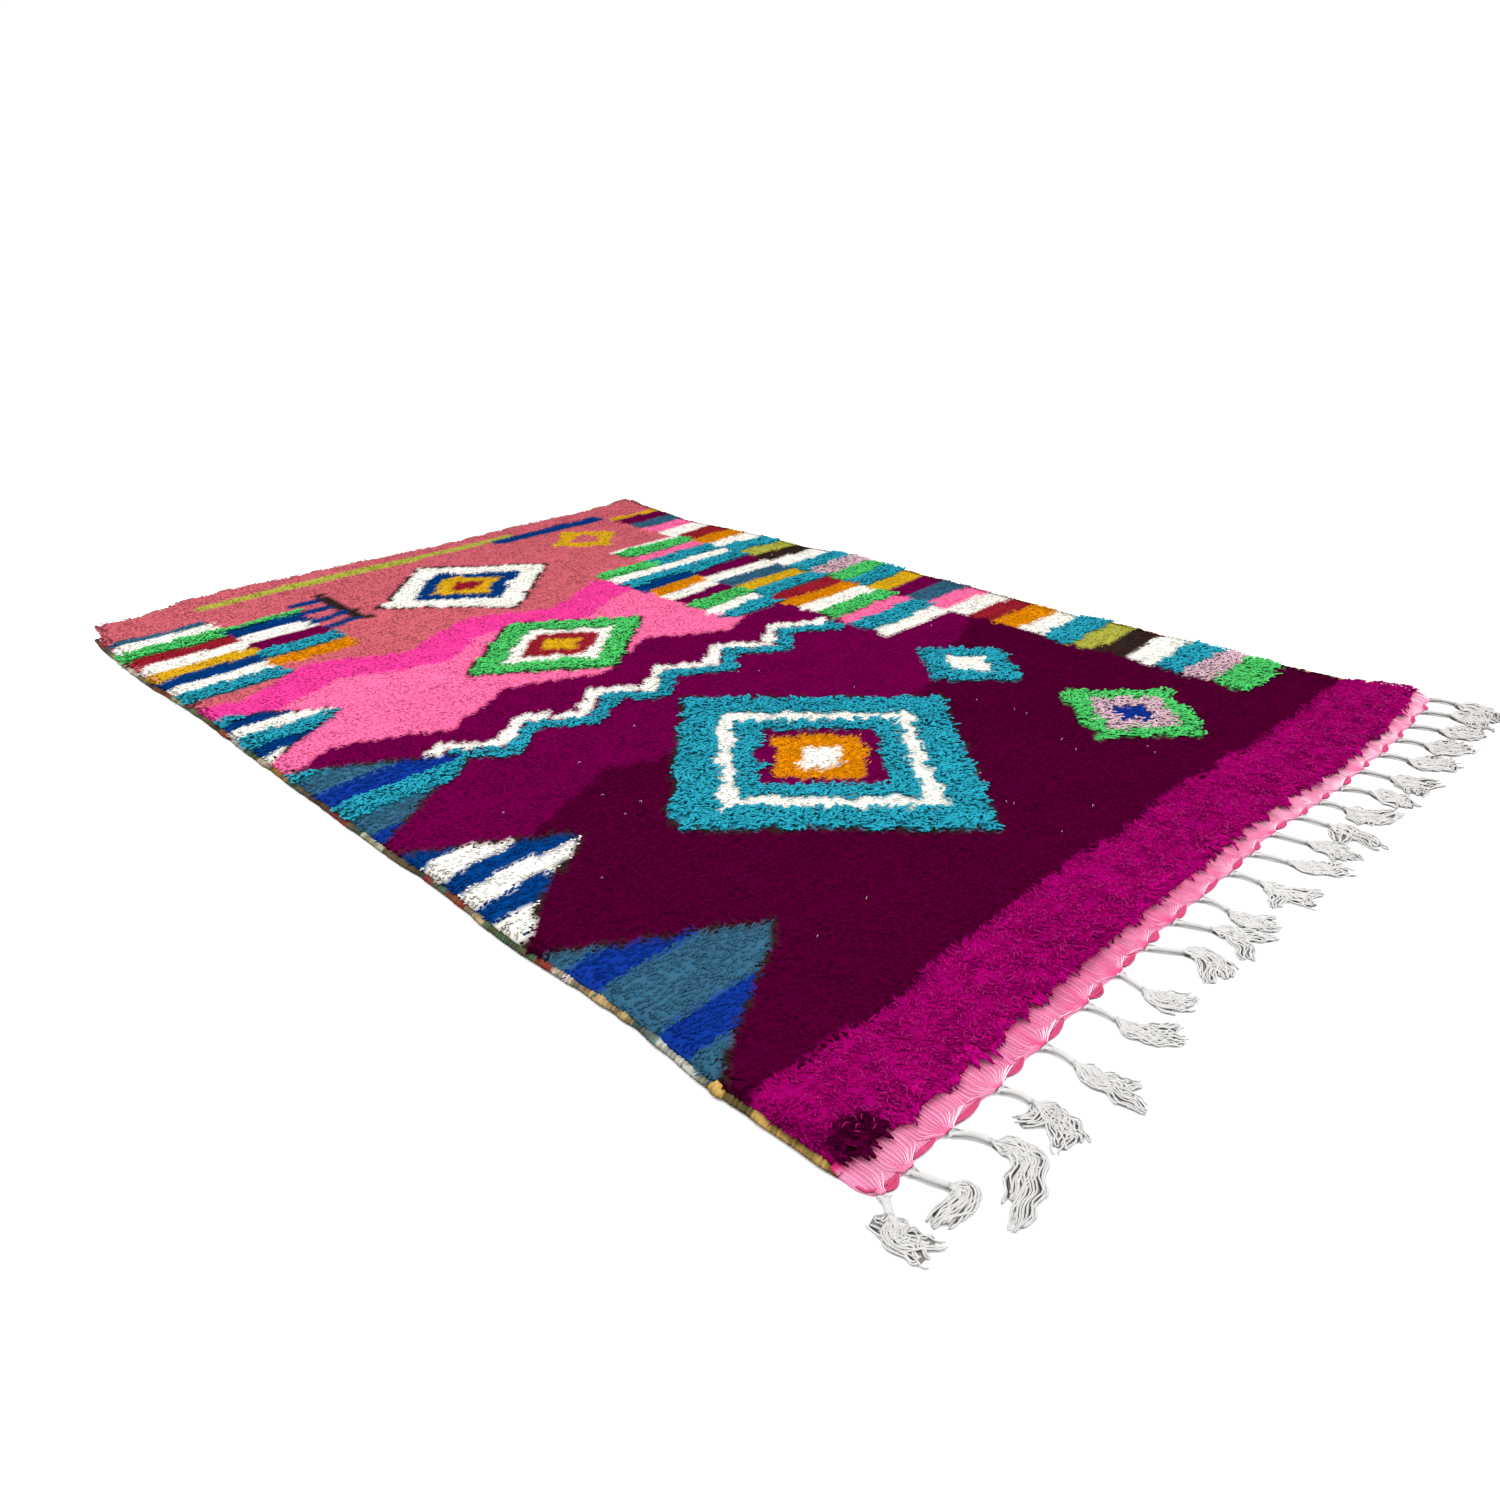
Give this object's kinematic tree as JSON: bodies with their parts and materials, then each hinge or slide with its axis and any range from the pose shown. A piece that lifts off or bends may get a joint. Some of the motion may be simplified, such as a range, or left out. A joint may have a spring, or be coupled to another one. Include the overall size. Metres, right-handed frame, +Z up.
{
  "type": "pile rug with a knotted fringe",
  "caption": "Hand-knotted wool shag rug lying flat, with a patterned field, a plain shaggy end band, a flat-woven end strip, bound sides and a knotted tassel fringe at one end.",
  "frame": {"origin": "middle of the woven body's underside, on the floor", "axes": "+X across the rug to its right side, +Y along it away from the fringe, +Z up through the pile"},
  "size_m": [1.6987, 2.5339, 0.0228],
  "materials": {
    "pile_wool": "shaggy matt wool pile in plum, rose, turquoise, green and white",
    "edge_wool": "olive-gold and dark wool bound round the side warps",
    "strip_wool": "pink flat weave ribbed along its warps",
    "weft_wool": "rose wool weft, loosely bundled",
    "warp_yarn": "off-white plied warp yarn"
  },
  "bodies": {
    "root": {"pile_field": "pile_wool", "selvedge_left": "edge_wool", "selvedge_right": "edge_wool", "kilim_end": "strip_wool", "end_weft": "weft_wool", "tassel_01": "warp_yarn", "tassel_02": "warp_yarn", "tassel_03": "warp_yarn", "tassel_04": "warp_yarn", "tassel_05": "warp_yarn", "tassel_06": "warp_yarn", "tassel_07": "warp_yarn", "tassel_08": "warp_yarn", "tassel_09": "warp_yarn", "tassel_10": "warp_yarn", "tassel_11": "warp_yarn", "tassel_12": "warp_yarn", "tassel_13": "warp_yarn", "tassel_14": "warp_yarn", "tassel_15": "warp_yarn", "tassel_16": "warp_yarn", "tassel_17": "warp_yarn", "tassel_18": "warp_yarn", "tassel_19": "warp_yarn", "tassel_20": "warp_yarn", "tassel_21": "warp_yarn", "tassel_22": "warp_yarn"}
  },
  "joints": []
}
